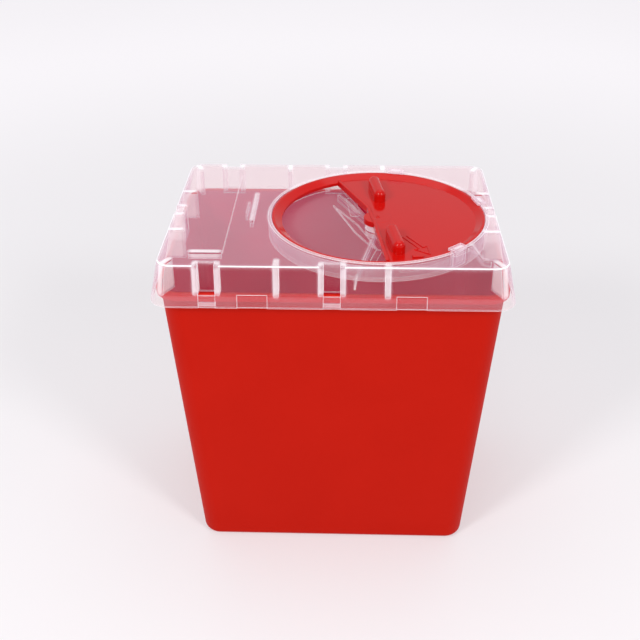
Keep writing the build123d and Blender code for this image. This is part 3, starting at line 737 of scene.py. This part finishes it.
plate_r = DISH_R + RING_WALL / 2
hub_x = edge_path[2][0]
hub_start = math.acos(hub_x / HUB_R)
back_angle = math.atan2(edge_path[0][1], edge_path[0][0])
front_angle = math.atan2(edge_path[3][1], edge_path[3][0])
plate_outline = [edge_path[1]] + arc(HUB_R, hub_start, 2 * math.pi - hub_start, 20) + [edge_path[3]]
plate_outline += arc(plate_r, front_angle, back_angle, 96)
rotor_plate = solid_outline("rotor_plate", plate_outline, -PLATE_SINK, -PLATE_SINK - PLATE_THICK)

# %% Build the hub and its pin
hub_under = -PLATE_SINK - HUB_DEPTH
rotor_hub = solid_outline("rotor_hub", disc(HUB_R, 48), HUB_RISE - PLATE_SINK, hub_under, TOP_ROUND)
pivot_low = rotor_low[2] - DECK_TOP
rotor_pin = solid_outline("rotor_pin", disc(PIN_R, 32), hub_under + SINK_IN, pivot_low)

# %% [markdown]
# ## Raised lines
# Three things on the rotor are a bead of even width that follows a line: the upstand along the cut
# edge, the arrow that shows which way to turn, and the small ring that the mould's gate leaves at
# the hub. One tree makes them all. It lays a rounded bead section along a path and closes its ends.


# %% Geometry Nodes: a bead laid along a line
def make_bead_tree():
    tree, given, result = new_tree(
        "laid_bead", "GeometryNodeTree",
        [("Path", "NodeSocketObject", None), ("Width", "NodeSocketFloat", 0.001),
         ("Height", "NodeSocketFloat", 0.001), ("Rounding", "NodeSocketFloat", 0.0003),
         ("Corner Rounding", "NodeSocketFloat", 0.0), ("Finish", "NodeSocketMaterial", None)],
        [("Geometry", "NodeSocketGeometry")])
    path = add_node(tree, "GeometryNodeObjectInfo", Object=given.outputs["Path"])
    bend = tree.nodes.new("GeometryNodeFilletCurve")
    bend.mode = "POLY"
    bend.inputs["Limit Radius"].default_value = True
    bend.inputs["Count"].default_value = 6
    tree.links.new(path.outputs["Geometry"], bend.inputs["Curve"])
    tree.links.new(given.outputs["Corner Rounding"], bend.inputs["Radius"])
    bead = add_node(tree, "GeometryNodeCurvePrimitiveQuadrilateral", Width=given.outputs["Width"],
                    Height=given.outputs["Height"])
    soft = tree.nodes.new("GeometryNodeFilletCurve")
    soft.mode = "POLY"
    soft.inputs["Limit Radius"].default_value = True
    soft.inputs["Count"].default_value = 3
    tree.links.new(bead.outputs["Curve"], soft.inputs["Curve"])
    tree.links.new(given.outputs["Rounding"], soft.inputs["Radius"])
    sweep = add_node(tree, "GeometryNodeCurveToMesh", Curve=bend.outputs["Curve"])
    sweep.inputs["Fill Caps"].default_value = True
    tree.links.new(soft.outputs["Curve"], sweep.inputs["Profile Curve"])
    real = add_node(tree, "GeometryNodeRealizeInstances", Geometry=sweep.outputs["Mesh"])
    dressed = add_node(tree, "GeometryNodeSetMaterial", Geometry=real.outputs["Geometry"],
                       Material=given.outputs["Finish"])
    tree.links.new(dressed.outputs["Geometry"], result.inputs["Geometry"])
    return tree


BEAD = make_bead_tree()


def lay_bead(name, points, middle, width, height, rounding, corner, closed=False):
    helper = draw_curve(name + "_path", [(x, y, middle) for x, y in points], closed)
    return bake(name, BEAD, {
        "Path": helper, "Width": width, "Height": height, "Rounding": rounding,
        "Corner Rounding": corner, "Finish": RED_ROTOR}, [helper], ON_PIVOT)


# %% Lay the upstand, the arrow and the gate ring
EDGE_RISE = 1.0 * MM
EDGE_DROP = 5.0 * MM
EDGE_WALL = 2.6 * MM
EDGE_SOFTNESS = 0.7 * MM
EDGE_BEND = 3.0 * MM
upstand_middle = -PLATE_SINK + EDGE_RISE - EDGE_DROP / 2
rotor_edge = lay_bead("rotor_edge", edge_path, upstand_middle, EDGE_WALL, EDGE_DROP, EDGE_SOFTNESS,
                      EDGE_BEND)

ARROW_TAIL = Vector((0.183, -0.496)) * DISH_R
ARROW_TIP = Vector((0.353, -0.912)) * DISH_R
ARROW_SHAFT = 3.4 * MM
ARROW_HEAD = 10.5 * MM
ARROW_HEAD_SHARE = 0.36
ARROW_LINE = 0.9 * MM
ARROW_SOFTNESS = 0.35 * MM
ARROW_BEND = 0.2 * MM
EMBOSS = 0.5 * MM
shaft = ARROW_TIP - ARROW_TAIL
ahead = shaft.normalized()
across = Vector((-ahead.y, ahead.x))
neck = shaft.length * (1 - ARROW_HEAD_SHARE)
arrow_path = []
for forth, side in ((0, ARROW_SHAFT), (neck, ARROW_SHAFT), (neck, ARROW_HEAD), (shaft.length, 0),
                    (neck, -ARROW_HEAD), (neck, -ARROW_SHAFT), (0, -ARROW_SHAFT)):
    arrow_path.append(tuple(ARROW_TAIL + ahead * forth + across * side / 2))
rotor_arrow = lay_bead("rotor_arrow", arrow_path, -PLATE_SINK, ARROW_LINE, 2 * EMBOSS, ARROW_SOFTNESS,
                       ARROW_BEND)

GATE_R = 1.4 * MM
GATE_LINE = 0.7 * MM
GATE_HEIGHT = 0.6 * MM
GATE_SOFTNESS = 0.25 * MM
gate_mark = lay_bead("gate_mark", disc(GATE_R, 16), HUB_RISE - PLATE_SINK, GATE_LINE, GATE_HEIGHT,
                     GATE_SOFTNESS, 0.0, closed=True)

# %% [markdown]
# ## The finger knobs
# Two equal knobs stand on the plate so that a finger can turn it. Each is a long pill with a domed
# top. One knob is modelled, and Geometry Nodes put a copy on each point of a two-point path, so
# that a change to the knob or to the spacing is made once.


# %% Model one knob
KNOB_LENGTH = 34.0 * MM
KNOB_WIDTH = 9.0 * MM
KNOB_HEIGHT = rotor_high[2] - (DECK_TOP - PLATE_SINK)
KNOB_DOME = 4.2 * MM
KNOB_PLACES = [(0.060, -0.640), (0.094, 0.594)]


def model_knob():
    half = KNOB_LENGTH / 2 - KNOB_WIDTH / 2
    rings = [(KNOB_WIDTH / 2, -SINK_IN), (KNOB_WIDTH / 2, KNOB_HEIGHT - KNOB_DOME)]
    steps = 10
    for index in range(1, steps):
        angle = math.pi / 2 * index / steps
        radius = KNOB_WIDTH / 2 - KNOB_DOME * (1 - math.cos(angle))
        rings.append((radius, KNOB_HEIGHT - KNOB_DOME * (1 - math.sin(angle))))
    shape = bmesh.new()
    loops = []
    for radius, high in rings:
        outline = [(x, y + half) for x, y in arc(radius, 0, math.pi, 16)]
        outline += [(x, y - half) for x, y in arc(radius, math.pi, 2 * math.pi, 16)]
        loops.append([shape.verts.new((x, y, high)) for x, y in outline])
    for low, high in zip(loops, loops[1:]):
        for index in range(len(low)):
            other = (index + 1) % len(low)
            shape.faces.new((low[index], low[other], high[other], high[index]))
    shape.faces.new(loops[-1])
    shape.faces.new(reversed(loops[0]))
    mesh = bpy.data.meshes.new("knob_pattern")
    shape.to_mesh(mesh)
    shape.free()
    knob = bpy.data.objects.new("knob_pattern", mesh)
    scene.collection.objects.link(knob)
    return knob


# %% Geometry Nodes: a copy on each point
def make_copies_tree():
    tree, given, result = new_tree(
        "copies_on_points", "GeometryNodeTree",
        [("Pattern", "NodeSocketObject", None), ("First Place", "NodeSocketVector", (0, 0, 0)),
         ("Last Place", "NodeSocketVector", (0, 0, 0)), ("Count", "NodeSocketInt", 2),
         ("Finish", "NodeSocketMaterial", None)],
        [("Geometry", "NodeSocketGeometry")])
    line = tree.nodes.new("GeometryNodeMeshLine")
    line.mode = "END_POINTS"
    tree.links.new(given.outputs["Count"], line.inputs["Count"])
    tree.links.new(given.outputs["First Place"], line.inputs["Start Location"])
    tree.links.new(given.outputs["Last Place"], line.inputs["Offset"])
    pattern = add_node(tree, "GeometryNodeObjectInfo", Object=given.outputs["Pattern"])
    copies = add_node(tree, "GeometryNodeInstanceOnPoints", Points=line.outputs["Mesh"],
                      Instance=pattern.outputs["Geometry"])
    real = add_node(tree, "GeometryNodeRealizeInstances", Geometry=copies.outputs["Instances"])
    dressed = add_node(tree, "GeometryNodeSetMaterial", Geometry=real.outputs["Geometry"],
                       Material=given.outputs["Finish"])
    tree.links.new(dressed.outputs["Geometry"], result.inputs["Geometry"])
    return tree


# %% Stand the knobs on the plate
knob_pattern = model_knob()
first_place, last_place = [(x * DISH_R, y * DISH_R, -PLATE_SINK) for x, y in KNOB_PLACES]
finger_knobs = bake("finger_knobs", make_copies_tree(), {
    "Pattern": knob_pattern, "First Place": first_place, "Last Place": last_place,
    "Count": len(KNOB_PLACES), "Finish": RED_ROTOR}, [knob_pattern], ON_PIVOT)

# %% [markdown]
# ## The catch and the stop lug
# A small block near the front of the plate is where a finger lifts the rotor's closing catch, and a
# lug under the skirt meets two blocks in the well and ends the turn. Both are rounded outlines.

# %% Build the catch and the lug
CATCH_LENGTH = 8.0 * MM
CATCH_WIDTH = 4.0 * MM
CATCH_RISE = 1.6 * MM
LUG_LENGTH = 5.0 * MM
LUG_ROUND = 0.3 * MM
LUG_DROP = 0.6 * MM
catch_place = Vector((0.222, -0.955)) * DISH_R


def rounded_outline(place, length, width, radius):
    outline = []
    for sign_x, sign_y, start in ((1, 1, 0), (-1, 1, 90), (-1, -1, 180), (1, -1, 270)):
        x = place[0] + sign_x * (length / 2 - radius)
        y = place[1] + sign_y * (width / 2 - radius)
        outline += quarter(x, y, radius, start, start + 90)
    return outline


rotor_catch = solid_outline(
    "rotor_catch", rounded_outline(catch_place, CATCH_LENGTH, CATCH_WIDTH, CATCH_WIDTH / 3),
    CATCH_RISE - PLATE_SINK, -PLATE_SINK - SINK_IN, TOP_ROUND)
lug_place = (-(DISH_R + RING_WALL - SKIRT_WALL / 2), 0.0)
stop_lug = solid_outline(
    "stop_lug", rounded_outline(lug_place, SKIRT_WALL, LUG_LENGTH, LUG_ROUND), SINK_IN - SKIRT,
    -SKIRT - LUG_DROP)

# %% [markdown]
# ## Handing the pieces over
# Each new piece already carries its material. It rides on the body that carries it, and the CAD node
# it replaces is hidden. The lid and its three clips keep their CAD shape and only get the new finish.

# %% Ride, slot and finish
for piece in (bin_wall, bin_rim):
    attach(piece, "container")
    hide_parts("container")
rotor_pieces = (rotor_ring, rotor_plate, rotor_hub, rotor_pin, rotor_edge, rotor_arrow, gate_mark,
                finger_knobs, rotor_catch, stop_lug)
for piece in rotor_pieces:
    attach(piece, "rotor")
    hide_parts("rotor")


def finish_node(node, material):
    piece = frame["nodes"][node]
    piece.data.materials.clear()
    piece.data.materials.append(material)


finish_node("lid", CLEAR_LID)
for side in ("back", "right", "front"):
    finish_node("rotor_clip_" + side, CLEAR_CLIP)

# %% [markdown]
# ## Floor
# The object stands on a plain pale sweep. The red bin throws a strong red tint on anything near it,
# and a large lit studio would wash that tint out. A small emission on the floor is painted light that
# stands for it. The emission is weaker near the object than far off, which paints a soft shade round
# it.


# %% Floor
FLOOR_R = 8.0
FLOOR_GAP = 0.1 * MM


def make_floor():
    bpy.ops.mesh.primitive_circle_add(vertices=96, radius=FLOOR_R, fill_type="NGON",
                                      location=(0, 0, -FLOOR_GAP))
    floor = bpy.context.active_object
    floor.name = "floor"
    material, tree, shader = new_material("pale_floor")
    grain = add_effect(tree, GRAIN, Grain_Scale=60.0, Flow_Scale=1.2)
    tone = two_tints(tree, grain.outputs["Flow"], (0.52, 0.51, 0.52, 1), (0.55, 0.54, 0.545, 1))
    tree.links.new(tone, shader.inputs["Base Color"])
    shader.inputs["Roughness"].default_value = 0.7
    shader.inputs["Specular IOR Level"].default_value = 0.2
    place = tree.nodes.new("ShaderNodeTexCoord").outputs["Object"]
    distance = tree.nodes.new("ShaderNodeVectorMath")
    distance.operation = "LENGTH"
    tree.links.new(place, distance.inputs[0])
    # Painted shade round the object: the floor's glow rises from near the object to far off.
    sweep = add_node(tree, "ShaderNodeMapRange", Value=distance.outputs["Value"], From_Min=0.4,
                     From_Max=1.5)
    sweep.interpolation_type = "SMOOTHSTEP"
    bright = two_tints(tree, sweep.outputs["Result"], (0.355, 0.35, 0.36, 1), (0.57, 0.555, 0.575, 1))
    tree.links.new(bright, shader.inputs["Emission Color"])
    shader.inputs["Emission Strength"].default_value = 1.0
    floor.data.materials.append(material)
    print("floor", FLOOR_R, "m in radius")


make_floor()

# %% [markdown]
# ## Light
# A white tent lights such a shot: a bright even room, a little brighter behind the object, a
# softbox each side and a weak one above. The level top of the rotor mirrors the bright back, so it
# looks paler than its upright walls. A small key lamp in front puts a soft streak on the knobs.

# %% The room
FRONT_STRENGTH, BACK_STRENGTH = 0.46, 0.62
world = bpy.data.worlds.new("soft_room")
scene.world = world
world.use_nodes = True
room = world.node_tree
direction = add_node(room, "ShaderNodeSeparateXYZ",
                     Vector=room.nodes.new("ShaderNodeTexCoord").outputs["Generated"])
behind = add_node(room, "ShaderNodeMapRange", Value=direction.outputs["Y"], From_Min=-0.6,
                  From_Max=0.7, To_Min=FRONT_STRENGTH, To_Max=BACK_STRENGTH)
behind.interpolation_type = "SMOOTHSTEP"
background = room.nodes["Background"]
background.inputs["Color"].default_value = (0.97, 0.955, 0.985, 1)
room.links.new(behind.outputs["Result"], background.inputs["Strength"])


# %% The lamps
def soft_light(name, place, target, size, power):
    data = bpy.data.lights.new(name, "AREA")
    data.shape = "RECTANGLE"
    data.size, data.size_y = size
    data.energy = power
    light = bpy.data.objects.new(name, data)
    scene.collection.objects.link(light)
    light.location = place
    light.rotation_euler = (Vector(target) - Vector(place)).to_track_quat("-Z", "Y").to_euler()
    print(name, power, "W")


soft_light("left_softbox", (-0.9, -1.1, 1.2), (0, 0, 0.15), (0.35, 0.35), 12)
soft_light("right_softbox", (0.9, -1.1, 1.2), (0, 0, 0.15), (0.35, 0.35), 11)
soft_light("top_softbox", (0, 0.3, 1.6), (0, 0, 0.2), (1.2, 1.0), 4)
soft_light("small_key", (-0.15, -0.75, 1.55), (0, 0, 0.2), (0.12, 0.12), 0.7)

# %% [markdown]
# ## Camera
# The camera looks down at the front from just right of the middle, turned a little to the left.
# Its direction is worked out from three angles, and its axes are put in a matrix as columns.

# %% Camera
YAW, PITCH, ROLL = -0.035, 0.543, -0.006
CAMERA_PLACE = (0.01158, -0.65538, 0.55563)
FOCAL_LENGTH = 53.67
forward = Vector((math.sin(YAW) * math.cos(PITCH), math.cos(YAW) * math.cos(PITCH), -math.sin(PITCH)))
level = Vector((math.cos(YAW), -math.sin(YAW), 0))
upward = level.cross(forward)
right = math.cos(ROLL) * level + math.sin(ROLL) * upward
up = -math.sin(ROLL) * level + math.cos(ROLL) * upward
lens = bpy.data.cameras.new("camera")
lens.lens = FOCAL_LENGTH
lens.sensor_width = 36
lens.clip_end = 50
camera = bpy.data.objects.new("camera", lens)
scene.collection.objects.link(camera)
turn = Matrix((right, up, -forward)).transposed()
camera.matrix_world = Matrix.Translation(CAMERA_PLACE) @ turn.to_4x4()
scene.camera = camera
print("camera at", CAMERA_PLACE)
